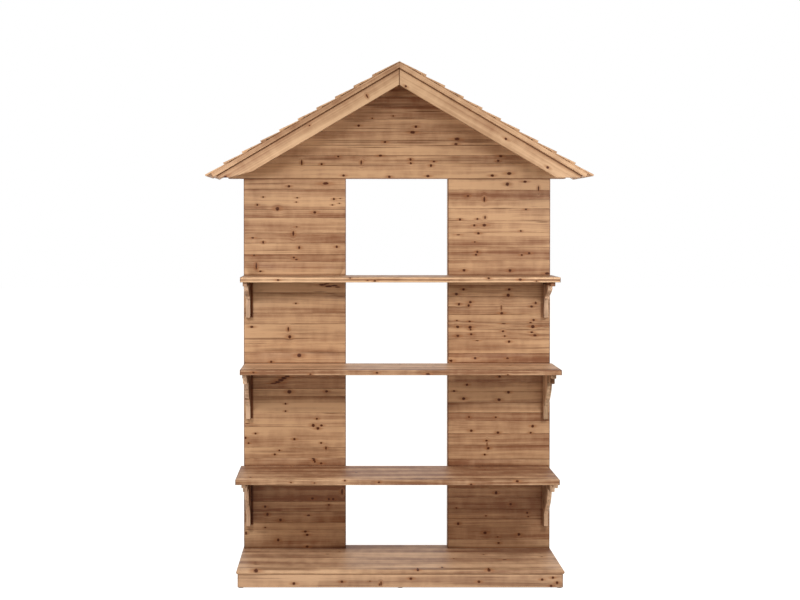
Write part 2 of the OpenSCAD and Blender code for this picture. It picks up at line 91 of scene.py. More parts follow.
# %% What a ray sees directly
def seen_directly(tree):
    """1 for rays from the camera, or by a mirror or glass, and 0 for rays that carry light."""
    path = tree.nodes.new("ShaderNodeLightPath")
    total = None
    for name in ("Is Camera Ray", "Is Glossy Ray", "Is Transmission Ray"):
        if total is None:
            total = path.outputs[name]
            continue
        add = tree.nodes.new("ShaderNodeMath")
        add.operation = "MAXIMUM"
        tree.links.new(total, add.inputs[0])
        tree.links.new(path.outputs[name], add.inputs[1])
        total = add.outputs[0]
    return total


# %% World
WORLD_LIGHT = 0.535
WORLD_WARMTH = (1.0, 0.95, 0.88, 1)

world = bpy.data.worlds.new("studio")
world.use_nodes = True
background = world.node_tree.nodes["Background"]
background.inputs["Strength"].default_value = 1.0
colour = world.node_tree.nodes.new("ShaderNodeMix")
colour.data_type = "RGBA"
colour.inputs[6].default_value = [c * WORLD_LIGHT for c in WORLD_WARMTH]
colour.inputs[7].default_value = (1, 1, 1, 1)
world.node_tree.links.new(seen_directly(world.node_tree), colour.inputs[0])
world.node_tree.links.new(colour.outputs[2], background.inputs["Color"])
bpy.context.scene.world = world
print("world light", WORLD_LIGHT)

# %% Floor
FLOOR_SIZE = 40.0
FLOOR_GLOW = 0.70       # white that the floor shows by itself
FLOOR_COLOUR = (0.80, 0.79, 0.78, 1)
FLOOR_ROUGHNESS = 0.9


def floor_material():
    material = bpy.data.materials.new("floor")
    material.use_nodes = True
    tree = material.node_tree
    shader = tree.nodes["Principled BSDF"]
    shader.inputs["Base Color"].default_value = FLOOR_COLOUR
    shader.inputs["Roughness"].default_value = FLOOR_ROUGHNESS
    shader.inputs["Specular IOR Level"].default_value = 0.0
    shader.inputs["Emission Color"].default_value = (1, 1, 1, 1)
    glow = tree.nodes.new("ShaderNodeMath")
    glow.operation = "MULTIPLY"
    glow.inputs[1].default_value = FLOOR_GLOW
    tree.links.new(seen_directly(tree), glow.inputs[0])
    tree.links.new(glow.outputs[0], shader.inputs["Emission Strength"])
    return material


bm = bmesh.new()
bmesh.ops.create_grid(bm, x_segments=1, y_segments=1, size=FLOOR_SIZE / 2)
mesh = bpy.data.meshes.new("floor")
bm.to_mesh(mesh)
bm.free()
mesh.materials.append(floor_material())
floor = bpy.data.objects.new("floor", mesh)
bpy.context.scene.collection.objects.link(floor)
print("floor", FLOOR_SIZE, "m")

# %% [markdown]
# ## Lamps
# Two small lamps stand close before the walls, just above the upper shelf, so the shadow under each
# shelf is longer than under the shelf above it. A broad lamp, higher than the roof, lights the tops
# of the shelves. All three are slightly cool, which evens out the warm world.

# %% Lamps
LAMP_COLOUR = (0.95, 0.985, 1.0)
LAMPS = (               # name, place, target, width, height and watts
    ("left softbox", (-1.0, -1.20, 1.56), (-0.5, -0.2, 0.0), 0.3, 0.3, 11.9),
    ("right softbox", (1.0, -1.20, 1.48), (0.5, -0.2, 0.0), 0.35, 0.3, 11.9),
    ("front", (0.0, -2.6, 4.0), (0.0, 0.0, 0.5), 2.4, 1.2, 30.5),
)

for name, place, target, width, height, watts in LAMPS:
    data = bpy.data.lights.new(name, "AREA")
    data.shape = "RECTANGLE"
    data.size = width
    data.size_y = height
    data.energy = watts
    data.color = LAMP_COLOUR
    lamp = bpy.data.objects.new(name, data)
    bpy.context.scene.collection.objects.link(lamp)
    lamp.location = place
    lamp.rotation_euler = (Vector(target) - Vector(place)).to_track_quat("-Z", "Y").to_euler()
    lamp.visible_camera = False
print("lamps:", ", ".join(lamp[0] for lamp in LAMPS))

# %% [markdown]
# ## Wood as a solid
# A board is cut from a trunk, so its rings, streaks and knots run through it. A picture on its faces
# would not meet at the edges. Here every board carries its own coordinates in its mesh: `grain` says,
# for each vertex, how far along, across and through the board it lies, and `reach` gives half the
# board's length, half its width, and how strong a brown vein its face has. Each face also knows which
# board it belongs to (`board`: tone, greyness, seed, height of the face side), where the middle of
# the trunk was and how wide the rings are (`pith`), and the knots near it (`knot_0` and on: place
# along and across, and two radii). The texture then needs no images, and end grain, edges and faces
# agree.

# %% Node helper
KNOT_SLOTS = 6


class Nodes:
    """Adds nodes to a tree. Inputs are numbers, colours or the sockets of other nodes."""

    def __init__(self, tree):
        self.tree = tree

    def add(self, kind, inputs=None, **settings):
        node = self.tree.nodes.new(kind)
        for key, value in settings.items():
            setattr(node, key, value)
        for key, value in (inputs or {}).items():
            self.feed(value, node.inputs[key])
        return node

    def feed(self, value, socket):
        """Links a socket to the input, or sets the input to a value."""
        if isinstance(value, bpy.types.NodeSocket):
            self.tree.links.new(value, socket)
        else:
            socket.default_value = value

    def math(self, operation, *values, clamp=False):
        inputs = dict(enumerate(values))
        return self.add("ShaderNodeMath", inputs, operation=operation, use_clamp=clamp).outputs[0]

    def vector_math(self, operation, first, second):
        return self.add("ShaderNodeVectorMath", {0: first, 1: second}, operation=operation).outputs[0]

    def scaled(self, vector, factors):
        return self.vector_math("MULTIPLY", vector, factors)

    def moved(self, vector, offset):
        return self.vector_math("ADD", vector, offset)

    def point(self, x, y, z):
        return self.add("ShaderNodeCombineXYZ", {0: x, 1: y, 2: z}).outputs[0]

    def parts(self, vector):
        return self.add("ShaderNodeSeparateXYZ", {0: vector}).outputs

    def noise(self, vector, scale, detail=2.0, roughness=0.5):
        inputs = {"Vector": vector, "Scale": scale, "Detail": detail, "Roughness": roughness}
        return self.add("ShaderNodeTexNoise", inputs).outputs[0]

    def smooth(self, value, low, high, to_low=0.0, to_high=1.0):
        inputs = {"Value": value, "From Min": low, "From Max": high,
                  "To Min": to_low, "To Max": to_high}
        return self.add("ShaderNodeMapRange", inputs, interpolation_type="SMOOTHSTEP").outputs[0]

    def mix(self, share, first, second, blend="MIX"):
        inputs = {0: share, 6: first, 7: second}
        return self.add("ShaderNodeMix", inputs, data_type="RGBA", blend_type=blend).outputs[2]

    def carried(self, name):
        return self.add("ShaderNodeAttribute", attribute_type="GEOMETRY", attribute_name=name).outputs


print("knots that a face can know:", KNOT_SLOTS)

# %% [markdown]
# ## The figure of the wood
# This group turns the carried values into masks. Knots come first, because the grain flows round
# them: near a knot the coordinate across the board is pulled towards the knot's middle, which pushes
# the lines of equal value outwards. A knot narrows with depth, as a branch does. One that is very long
# is a stain of resin instead: the wider it is, the weaker.

# %% Knots and stains
LONGEST_KNOT = 0.0125   # half the length of a knot, past which it is a stain
STAIN_DEPTH = 0.0021    # the strength of a stain times half its width
DARKEST_STAIN = 0.75
FAR = 9.0               # a distance in radii that no mask reaches
PULL, PULL_FADE = 0.75, -0.15


def knot_masks(n, u, v, depth):
    """The nearest knot in its radii, the same for its halo, the pull on the grain, and the stain."""
    nearest, around, pull, stain = FAR, FAR, 0.0, 0.0
    for slot in range(KNOT_SLOTS):
        knot = n.carried(f"knot_{slot}")
        knot_u, knot_v, radius_u = n.parts(knot["Vector"])
        aside = n.math("SUBTRACT", v, knot_v)
        du = n.math("DIVIDE", n.math("SUBTRACT", u, knot_u), n.math("MULTIPLY", radius_u, depth))
        dv = n.math("DIVIDE", aside, n.math("MULTIPLY", knot["Alpha"], depth))
        squared_v = n.math("MULTIPLY", dv, dv)
        squared = n.math("MULTIPLY_ADD", du, du, squared_v)
        weight = n.math("EXPONENT", n.math("MULTIPLY", squared, PULL_FADE))
        pull = n.math("MULTIPLY_ADD", n.math("MULTIPLY", aside, PULL), weight, pull)
        distance = n.math("SQRT", squared)
        is_stain = n.math("GREATER_THAN", radius_u, LONGEST_KNOT)
        out_of_reach = n.math("MULTIPLY", is_stain, FAR)
        nearest = n.math("MINIMUM", n.math("ADD", distance, out_of_reach), nearest)
        long_u = n.math("MULTIPLY", n.math("MULTIPLY", du, du), 0.16)
        wide = n.math("SQRT", n.math("ADD", long_u, squared_v))
        around = n.math("MINIMUM", n.math("ADD", wide, out_of_reach), around)
        strength = n.math("MINIMUM", n.math("DIVIDE", STAIN_DEPTH, knot["Alpha"]), DARKEST_STAIN)
        strength = n.math("MULTIPLY", strength, is_stain)
        here = n.math("MULTIPLY", n.smooth(distance, 0.3, 1.4, 1.0, 0.0), strength)
        stain = n.math("MAXIMUM", here, stain)
    return nearest, around, pull, stain


print("a knot over", 2000 * LONGEST_KNOT, "mm is a stain")

# %% [markdown]
# The edges of a board come next. The joint to the next board is a dark line that comes and goes, each
# end is a little darker, and some boards have a brown vein between pale rims, as a shelf's front does
# where it is cut across the rings.

# %% Ends, joints and veins
def edge_masks(n, u, v, away):
    """1 at a board's ends, 1 along parts of its joints, and on some boards a vein between pale rims."""
    half_length, half_width, vein = n.parts(n.carried("reach")["Vector"])
    to_end = n.math("SUBTRACT", n.math("ABSOLUTE", u), half_length)
    to_joint = n.math("SUBTRACT", n.math("ABSOLUTE", v), half_width)
    end = n.smooth(to_end, -0.0040, -0.0012)
    side = n.math("MULTIPLY", n.math("SIGN", v), 3.0)
    place = n.moved(n.point(n.math("MULTIPLY", u, 3.0), side, side), away)
    open_here = n.smooth(n.noise(place, 1.0, 2.0), 0.44, 0.66)
    joint = n.math("MULTIPLY", n.smooth(to_joint, -0.0018, -0.0005), open_here)
    rim = n.smooth(to_joint, -0.0070, -0.0045, 1.0, -1.0)
    along = n.moved(n.point(n.math("MULTIPLY", u, 4.0), 0.0, 0.0), away)
    comes = n.smooth(n.noise(along, 1.0, 2.0), 0.30, 0.62)
    vein = n.math("MULTIPLY", n.math("MULTIPLY", rim, vein), comes)
    return end, joint, vein


# %% [markdown]
# Rings are circles round the pith, drawn as a slow rise and a sharp fall in darkness, as early and
# late wood are. The trunk was never quite straight, so the grain wanders. Long soft bands of brown
# wood, a faint mottle and a very fine noise for the fibres lie over the rings.

# %% Rings
def grain_lines(n, own, v, w, pull):
    """How far across and through the board a point lies, along a grain that wanders round its knots."""
    wander = n.noise(n.scaled(own, (1.0, 0.2, 0.2)), 2.2, 1.0)
    wander = n.math("MULTIPLY_ADD", wander, 0.010, -0.005)
    ripple = n.noise(n.scaled(own, (1.0, 3.0, 3.0)), 12.0, 2.0)
    ripple = n.math("MULTIPLY_ADD", ripple, 0.0020, -0.0010)
    across = n.math("ADD", n.math("SUBTRACT", v, pull), n.math("ADD", wander, ripple))
    bend = n.noise(n.scaled(n.moved(own, (5, 0, 0)), (1, 0, 0)), 1.3, 1.0)
    through = n.math("ADD", w, n.math("MULTIPLY_ADD", bend, 0.03, -0.015))
    return across, through


def late_wood(n, across, through, pith, seed):
    """The dark part of each ring, which is stronger in some years."""
    pith_v, pith_w, spacing = n.parts(pith)
    ring_v = n.math("SUBTRACT", across, pith_v)
    ring_w = n.math("SUBTRACT", through, pith_w)
    squared = n.math("ADD", n.math("MULTIPLY", ring_v, ring_v), n.math("MULTIPLY", ring_w, ring_w))
    rings = n.math("DIVIDE", n.math("SQRT", squared), spacing)
    part = n.math("FRACT", rings)
    late = n.math("MULTIPLY", n.math("POWER", part, 2.2), n.smooth(part, 0.90, 1.0, 1.0, 0.0))
    year = n.math("ADD", n.math("FLOOR", rings), n.math("MULTIPLY", seed, 7.1))
    luck = n.add("ShaderNodeTexWhiteNoise", {"W": year}, noise_dimensions="1D").outputs[0]
    return n.math("MULTIPLY", late, n.math("MULTIPLY_ADD", luck, 0.9, 0.25))


# %% Bands and fibres
def brown_wood(n, lines, own, late):
    """How brown the wood is before its board's tone is added, and its fibres."""
    band = n.smooth(n.noise(n.scaled(lines, (1.3, 24.0, 24.0)), 1.0, 2.0), 0.36, 0.68)
    fine = n.smooth(n.noise(n.scaled(lines, (2.4, 95.0, 95.0)), 1.0, 2.0, 0.6), 0.30, 0.70)
    fibre = n.noise(n.scaled(lines, (26.0, 900.0, 900.0)), 1.0, 2.0, 0.6)
    cloud = n.noise(n.scaled(own, (3.0, 1.0, 1.0)), 7.0, 3.0, 0.55)
    mottle = n.noise(n.scaled(own, (1.0, 0.6, 0.6)), 34.0, 2.0)
    brown = n.math("MULTIPLY_ADD", late, 0.32, -0.06)
    for value, gain in ((band, 0.60), (fine, 0.35), (fibre, 0.50), (cloud, 0.72), (mottle, 0.38)):
        brown = n.math("ADD", brown, n.math("MULTIPLY", n.math("SUBTRACT", value, 0.5), gain))
    return brown, fibre


# %% Wood figure group
BRANCH_TAPER = -24.0    # how fast a knot narrows with depth, per metre
THINNEST = 0.05


def make_figure():
    tree = bpy.data.node_groups.new("wood figure", "ShaderNodeTree")
    n = Nodes(tree)
    grain = n.carried("grain")["Vector"]
    u, v, w = n.parts(grain)
    board = n.carried("board")
    pith = n.carried("pith")
    tone, grey, seed = n.parts(board["Vector"])
    away = n.scaled(n.point(seed, seed, seed), (3.7, 1.3, 2.9))
    own = n.moved(grain, away)

    inward = n.math("SUBTRACT", board["Alpha"], w)
    depth = n.math("MAXIMUM", n.math("MULTIPLY_ADD", inward, BRANCH_TAPER, 1.0), THINNEST)
    nearest, around, pull, stain = knot_masks(n, u, v, depth)
    ragged = n.math("MULTIPLY_ADD", n.noise(own, 380.0), 0.9, -0.45)
    core = n.smooth(n.math("ADD", nearest, ragged), 0.75, 1.45, 1.0, 0.0)

    across, through = grain_lines(n, own, v, w, pull)
    late = late_wood(n, across, through, pith["Vector"], seed)
    lines = n.moved(n.point(u, across, through), away)
    brown, fibre = brown_wood(n, lines, own, late)
    thin = n.noise(n.scaled(lines, (1.6, 62.0, 62.0)), 1.0, 1.0)
    uneven = n.noise(n.scaled(lines, (14.0, 160.0, 160.0)), 1.0, 2.0)
    uneven = n.math("MULTIPLY_ADD", uneven, 0.9, 0.5)
    end_band, joint, vein = edge_masks(n, u, v, away)
    height = n.math("MULTIPLY_ADD", fibre, 0.5, n.math("MULTIPLY", late, 0.35))

    made = {
        "Brown": n.math("ADD", n.math("ADD", brown, vein), tone, clamp=True),
        "Streak": n.smooth(thin, 0.66, 0.80),
        "Stain": n.math("MULTIPLY", stain, uneven, clamp=True),
        "Fibre": fibre,
        "Core": core,
        "Halo": n.smooth(around, 0.6, 2.1, 1.0, 0.0),
        "Grey": grey,
        "End": n.math("MAXIMUM", end_band, pith["Alpha"]),
        "Joint": joint,
        "Height": n.math("ADD", height, n.math("MULTIPLY", core, 0.5)),
    }
    for name in made:
        tree.interface.new_socket(name, in_out="OUTPUT", socket_type="NodeSocketFloat")
    out = n.add("NodeGroupOutput")
    for name, value in made.items():
        tree.links.new(value, out.inputs[name])
    return tree


figure = make_figure()
print("figure nodes:", len(figure.nodes))

# %% [markdown]
# ## Painted shade and dark joints
# Painted shade darkens the front of the walls beside the brackets, under and just above the shelves,
# and just above the base top, where shadow falls, and also the tips of the upper brackets. These marks
# belong to a place on the object and not to a board, so they are found from Object coordinates, and
# their levels are read from the imported model. A dark joint line runs where the gable stands on the
# walls. The fascias get painted shade along their upper edge, under the roof boards, and a dark line
# at their mitre.

# %% Painted shade and joints
WALL_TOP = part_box("left_wall_planks")[1].z
LEVELS = ("upper", "middle", "lower")
SHADE_START, SHADE_FULL = 0.012, 0.004    # distance from a bracket where the painted shadow starts and is full
UNDER_SHELF, ON_SHELF, ON_BASE = 0.010, 0.007, 0.016    # how far the painted shade reaches from a board
RIGHT_SHARE = 0.35      # the painted shade on the right is weaker
TIP = 0.0175            # height of the painted shade on the tip of an upper bracket


def place_on_object(n):
    return n.parts(n.add("ShaderNodeTexCoord").outputs["Object"])


def corner_shade_and_wall_joint(n):
    """1 where painted shade darkens the front of the walls, and along the dark joint at their top."""
    x, y, z = place_on_object(n)
    aside = n.math("ABSOLUTE", x)
    darkening = n.smooth(z, WALL_TOP - 0.0040, WALL_TOP - 0.0008, 0.0, 0.9)
    for level in LEVELS:
        low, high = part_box(f"{level}_right_bracket")
        beside = n.smooth(aside, low.x - SHADE_START, low.x - SHADE_FULL)
        beside = n.math("MULTIPLY", beside, n.math("LESS_THAN", aside, high.x))
        beside = n.math("MULTIPLY", beside, n.smooth(z, low.z - 0.002, low.z + 0.004))
        beside = n.math("MULTIPLY", beside, n.smooth(x, -0.1, 0.1, 1.0, RIGHT_SHARE))
        under = n.smooth(z, high.z - UNDER_SHELF, high.z, 0.0, 0.8)
        here = n.math("MULTIPLY", n.math("MAXIMUM", beside, under), n.math("LESS_THAN", z, high.z))
        board_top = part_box(f"{level}_shelf")[1].z
        shelf_top_shade = n.smooth(z, board_top, board_top + ON_SHELF, 0.7, 0.0)
        above = n.math("MULTIPLY", shelf_top_shade, n.math("GREATER_THAN", z, board_top))
        darkening = n.math("MAXIMUM", n.math("MAXIMUM", here, above), darkening)
    base_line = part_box("base_top")[1].z
    darkening = n.math("MAXIMUM", darkening, n.smooth(z, base_line, base_line + ON_BASE, 0.8, 0.0))
    return n.math("MULTIPLY", darkening, n.math("LESS_THAN", y, wall_front + 0.003))


def gable_soil(n):
    """1 just above the walls, where the gable stands on them."""
    return n.smooth(place_on_object(n)[2], WALL_TOP, WALL_TOP + 0.0020, 0.7, 0.0)


def bracket_tip_shade(n):
    """1 on the tips of the upper brackets, close under the shelf, as painted shade, and more so on the
    right.
    """
    x, _, z = place_on_object(n)
    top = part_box("upper_right_bracket")[1].z
    tip = n.smooth(z, top - TIP, top - TIP + 0.0040)
    return n.math("MULTIPLY", tip, n.smooth(x, -0.1, 0.1, 0.35, 0.85))


def fascia_shade_and_mitre(n):
    """1 along a fascia's upper edge as painted shade under the roof boards, and at the dark mitre
    joint.
    """
    v = n.parts(n.carried("grain")["Vector"])[1]
    half = n.parts(n.carried("reach")["Vector"])[1]
    upper = n.smooth(n.math("SUBTRACT", v, half), -0.0070, -0.0025)
    aside = n.math("ABSOLUTE", place_on_object(n)[0])
    return n.math("MAXIMUM", upper, n.smooth(aside, 0.0010, 0.0028, 1.0, 0.0))


print("walls end at", round(WALL_TOP, 3), "m")

# %% [markdown]
# ## Softwood materials
# All boards share the figure, but not the colour: the brackets have the palest and the brownest wood,
# and the fascias the least contrast. Each material mixes a pale and a brown wood by the figure, draws
# the streaks, the painted shade and the dark joints, and paints the knots last. The wood is bare and
# planed, so it is fairly rough, with a weak sheen.

# %% Softwood
def srgb(red, green, blue):
    """A colour as a picture editor gives it, 0 to 255, made linear."""
    def linear(value):
        c = value / 255
        return c / 12.92 if c <= 0.04045 else ((c + 0.055) / 1.055) ** 2.4
    return (linear(red), linear(green), linear(blue), 1.0)


KNOT = srgb(77, 34, 7)
KNOT_HALO = srgb(150, 92, 50)
LINE = srgb(96, 58, 32)
GREY_TINT = srgb(222, 216, 226)
END_TINT = srgb(176, 158, 142)
SLAT_END_TINT = srgb(244, 240, 236)
# Tint for painted shade and for the dark joint under the gable.
SHADE_AND_JOINT_TINT = srgb(136, 92, 52)
# The last share is for the fascias' painted shade and mitre line.
JOINT_SHARE, HALO_SHARE, SHADE_AND_MITRE_SHARE = 0.6, 0.55, 0.85
SMOOTHEST, FIBRE_ROUGHNESS = 0.38, 0.20
SPECULAR = 0.18
BUMP_STRENGTH, BUMP_DEPTH = 0.35, 0.0004


def softwood(slot, pale, brown, streaks=0.6, shade_and_joint_of=None, shade_and_mitre_of=None, ends=END_TINT):
    material = bpy.data.materials.new(slot)
    material.use_nodes = True
    n = Nodes(material.node_tree)
    shader = material.node_tree.nodes["Principled BSDF"]
    fig = n.add("ShaderNodeGroup", node_tree=figure).outputs
    colour = n.mix(fig["Brown"], pale, brown)
    colour = n.mix(n.math("MULTIPLY", fig["Streak"], streaks), colour, LINE)
    colour = n.mix(fig["Grey"], colour, n.mix(1.0, colour, GREY_TINT, "MULTIPLY"))
    colour = n.mix(fig["End"], colour, n.mix(1.0, colour, ends, "MULTIPLY"))
    # Painted shade in the corners, under the shelves and on the upper brackets' tips, and the dark
    # joint under the gable.
    if shade_and_joint_of:
        colour = n.mix(shade_and_joint_of(n), colour, n.mix(1.0, colour, SHADE_AND_JOINT_TINT, "MULTIPLY"))
    # Painted shade along the fascias' upper edge, under the roof boards, and the dark mitre line.
    if shade_and_mitre_of:
        colour = n.mix(n.math("MULTIPLY", shade_and_mitre_of(n), SHADE_AND_MITRE_SHARE), colour, LINE)
    joint = n.math("MULTIPLY", fig["Joint"], JOINT_SHARE)
    colour = n.mix(n.math("MAXIMUM", joint, fig["Stain"]), colour, LINE)
    colour = n.mix(n.math("MULTIPLY", fig["Halo"], HALO_SHARE), colour, KNOT_HALO)
    colour = n.mix(fig["Core"], colour, KNOT)
    n.feed(colour, shader.inputs["Base Color"])
    n.feed(n.math("MULTIPLY_ADD", fig["Fibre"], FIBRE_ROUGHNESS, SMOOTHEST), shader.inputs["Roughness"])
    shader.inputs["Specular IOR Level"].default_value = SPECULAR
    relief = {"Height": fig["Height"], "Strength": BUMP_STRENGTH, "Distance": BUMP_DEPTH}
    n.feed(n.add("ShaderNodeBump", relief).outputs[0], shader.inputs["Normal"])
    return material


# %% Each piece's wood
WOODS = {}
for slot, pale, brown, marks in (
        ("wall_planks", (206, 163, 123), (133, 86, 57), {"shade_and_joint_of": corner_shade_and_wall_joint}),
        ("gable_planks", (206, 163, 123), (133, 86, 57), {"shade_and_joint_of": gable_soil}),
        ("shelf_boards", (220, 179, 139), (134, 92, 64), {}),
        ("base_boards", (216, 175, 136), (136, 95, 69), {}),
        ("bracket_boards", (236, 198, 160), (98, 61, 34), {"shade_and_joint_of": bracket_tip_shade}),
        ("fascia_boards", (214, 174, 135), (158, 114, 82), {"streaks": 0.2, "shade_and_mitre_of": fascia_shade_and_mitre}),
        ("roof_boards", (224, 182, 142), (144, 100, 70), {}),
        ("roof_slats", (224, 182, 142), (146, 102, 72), {"ends": SLAT_END_TINT}),
        ("frame_timber", (206, 163, 124), (144, 100, 72), {})):
    WOODS[slot] = softwood(slot, srgb(*pale), srgb(*brown), **marks)
print("woods:", ", ".join(WOODS))

# %% [markdown]
# ## From the frame's solids to boards
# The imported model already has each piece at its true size, but with knife-sharp edges and no idea of
# its grain. So a node is copied, its loose triangles are merged into clean faces, its separate solids
# are found one by one, and the sharp edges are eased with a small bevel. First come the helpers that
# find a board and its axes, and cut it into short cells. A face can know only a few knots, and in a
# short cell those are enough.

# %% Finding a board
CELL = 0.12             # length of a cell
FLAT = math.radians(1)
SHARP = math.radians(35)
MERGE = 1e-6


def island(start):
    """All vertices that hang together with this one."""
    found, todo = {start}, [start]
    while todo:
        for edge in todo.pop().link_edges:
            for vert in edge.verts:
                if vert not in found:
                    found.add(vert)
                    todo.append(vert)
    return found


def frame_of(points, along, face):
    """The matrix from the world to a board's own axes: along, across and through, from its middle."""
    along, face = Vector(along).normalized(), Vector(face).normalized()
    across = face.cross(along)
    turn = Matrix((along, across, face))
    local = [turn @ p for p in points]
    low = Vector(min(p[i] for p in local) for i in range(3))
    high = Vector(max(p[i] for p in local) for i in range(3))
    return Matrix.Translation(-(low + high) / 2) @ turn.to_4x4(), high - low


def cut_cells(bm, verts, to_board, length):
    """Cuts a board across its length, which changes nothing that shows."""
    count = max(1, round(length / CELL))
    back = to_board.inverted()
    normal = back.to_3x3() @ Vector((1, 0, 0))
    for k in range(1, count):
        place = back @ Vector((length * (k / count - 0.5), 0, 0))
        edges = {e for v in verts for e in v.link_edges}
        faces = {f for v in verts for f in v.link_faces}
        made = bmesh.ops.bisect_plane(bm, geom=[*verts, *edges, *faces], plane_co=place,
                                      plane_no=normal, dist=MERGE)
        verts = verts | {g for g in made["geom"] if isinstance(g, bmesh.types.BMVert)}
    return verts


def clean_copy(node):
    """A bmesh of a node with its loose triangles merged into as few faces as possible."""
    bm = bmesh.new()
    bm.from_mesh(nodes[node].data)
    bmesh.ops.remove_doubles(bm, verts=bm.verts[:], dist=MERGE)
    bmesh.ops.dissolve_limit(bm, angle_limit=FLAT, verts=bm.verts[:], edges=bm.edges[:],
                             use_dissolve_boundaries=False)
    return bm


def bevel(bm, edges, width, segments):
    bmesh.ops.bevel(bm, geom=edges, offset=width, offset_type="OFFSET", segments=segments,
                    profile=0.5, affect="EDGES", material=-1, clamp_overlap=True)


def ease_edges(bm, ease, segments, shortest):
    """Rounds the sharp edges that are long enough."""
    edges = [e for e in bm.edges if len(e.link_faces) == 2 and e.is_convex
             and e.calc_face_angle(0) > SHARP and e.calc_length() > shortest]
    if edges:
        bevel(bm, edges, ease, segments)


print("cells of", CELL, "m")

# %% [markdown]
# The second set of helpers chooses a board's wood and writes it into the mesh. Branches grow where
# they like, so boards that hide behind others get random knots, from a seeded draw that is the same
# in every run. End grain drinks more dirt than a face, so each face also gets the share in which it
# looks along the grain.

# %% Choosing and writing the wood
NO_KNOT = (9.0, 9.0, 0.001, 0.001)
KNOTS_PER_M2 = 45
RING_SPACING = (0.0035, 0.0065)
END_FROM, END_RISE = 0.75, 4    # how square a face is to the grain before it counts as an end


def random_wood(rng, size, knotty=1.0, tone=None, grey=None, spacing=RING_SPACING):
    """A likely board: a pith below and beside it, and a few knots."""
    knots = []
    for _ in range(int(size.x * size.y * KNOTS_PER_M2 * knotty + rng.random())):
        radius = rng.uniform(0.0022, 0.0050)
        knots.append((rng.uniform(-0.48, 0.48) * size.x, rng.uniform(-0.4, 0.4) * size.y,
                      radius * rng.uniform(0.8, 1.3), radius * rng.choice((0.8, 1.0, 1.0, 1.8))))
    aside = rng.choice((-1, 1)) * rng.uniform(0.5, 2.0) * size.y
    return {
        "tone": rng.uniform(0.15, 0.55) if tone is None else tone,
        "grey": rng.uniform(0.0, 0.6) if grey is None else grey,
        "seed": rng.uniform(0, 40),
        "pith": (aside, -rng.uniform(0.02, 0.07), rng.uniform(*spacing)),
        "knots": knots,
    }


def add_layers(bm):
    for name in ("grain", "reach"):
        bm.verts.layers.float_vector.new(name)
    for name in ("board", "pith", *(f"knot_{k}" for k in range(KNOT_SLOTS))):
        bm.faces.layers.float_color.new(name)


def write_board(bm, verts, to_board, size, wood):
    """Writes the carried values of one board into its vertices and faces."""
    grain, reach = bm.verts.layers.float_vector["grain"], bm.verts.layers.float_vector["reach"]
    for vert in verts:
        vert[grain] = to_board @ vert.co
        vert[reach] = (size.x / 2, size.y / 2 + wood.get("apart", 0.0), wood.get("vein", 0.0))
    board, pith = bm.faces.layers.float_color["board"], bm.faces.layers.float_color["pith"]
    slots = [bm.faces.layers.float_color[f"knot_{k}"] for k in range(KNOT_SLOTS)]
    turn = to_board.to_3x3()
    for face in {f for v in verts for f in v.link_faces}:
        normal = turn @ face.normal
        is_end = min(max((abs(normal.x) - END_FROM) * END_RISE, 0.0), 1.0)
        tone = wood["tone"]
        if "side_tones" in wood:
            tone = wood["side_tones"][round(normal.z) + 1]
        face[board] = (tone, wood["grey"], wood["seed"], size.z / 2)
        face[pith] = (*wood["pith"], is_end)
        here = (to_board @ face.calc_center_median()).x
        near = sorted(wood["knots"], key=lambda k: abs(k[0] - here) - k[2])[:KNOT_SLOTS]
        for k, slot in enumerate(slots):
            face[slot] = near[k] if k < len(near) else NO_KNOT


print("random knots per square metre:", KNOTS_PER_M2)

# %% [markdown]
# `dress` puts the helpers together. Faces with many corners are split into triangles before the cells
# are cut, because a cut through a face with holes can leave two faces on top of each other. The
# result replaces the plain node.

# %% Dressing a node
EASE = 0.0008


def finish_piece(bm, node, slot):
    """Makes the piece's object, in its place, on the body, instead of the plain node."""
    mesh = bpy.data.meshes.new(node + "_wood")
    bm.to_mesh(mesh)
    bm.free()
    mesh.shade_smooth()
    mesh.set_sharp_from_angle(angle=SHARP)
    mesh.materials.append(WOODS[slot])
    piece = bpy.data.objects.new(node + "_wood", mesh)
    bpy.context.scene.collection.objects.link(piece)
    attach(piece, "root")
    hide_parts(node)


def dress(node, slot, along, face, wood_of, ease=EASE, segments=2, shortest=0.004):
    """Turns a node's solids into eased boards with their own grain, and gives their number.

    wood_of(k, to_board, size) picks the wood of the board with number k, counted from the top."""
    bm = clean_copy(node)
    if ease:
        ease_edges(bm, ease, segments, shortest)
    bmesh.ops.triangulate(bm, faces=[f for f in bm.faces if len(f.verts) > 4])
    add_layers(bm)
    left, boards = set(bm.verts), []
    while left:
        verts = island(next(iter(left)))
        left -= verts
        boards.append(verts)
    middle = {id(b): sum((v.co for v in b), Vector()) / len(b) for b in boards}
    boards.sort(key=lambda b: (-round(middle[id(b)].z, 3), round(middle[id(b)].y, 3), middle[id(b)].x))
    for k, verts in enumerate(boards):
        to_board, size = frame_of([v.co for v in verts], along, face)
        verts = cut_cells(bm, verts, to_board, size.x)
        write_board(bm, verts, to_board, size, wood_of(k, to_board, size))
    finish_piece(bm, node, slot)
    return len(boards)


print("edges are eased by", EASE * 1000, "mm unless a piece says otherwise")

# %% [markdown]
# ## Plank walls
# The walls are narrow planks laid one on the other. What makes them look real is that no two are
# alike: pale ones lie beside browner ones, and the small dark knots sit where branches grew. The
# tones are given as one hexadecimal digit per plank, from the top down, where 0 is palest, and the
# larger knots by their place on the wall, so each plank can pick its own. A knot more than 25 mm long
# is a stain along the grain.

# %% Tones and knots of the planks
PALEST, TONE_STEP = 0.05, 0.075
LITTLE_GREY = 0.1
LEFT_TONES = "74957694256048450332296b6936"
RIGHT_TONES = "48221465461553486136b167978678a2"
# The second to fourth gable planks from the top have dark tones as painted shade under the roof.
GABLE_TONES = "499a44263"
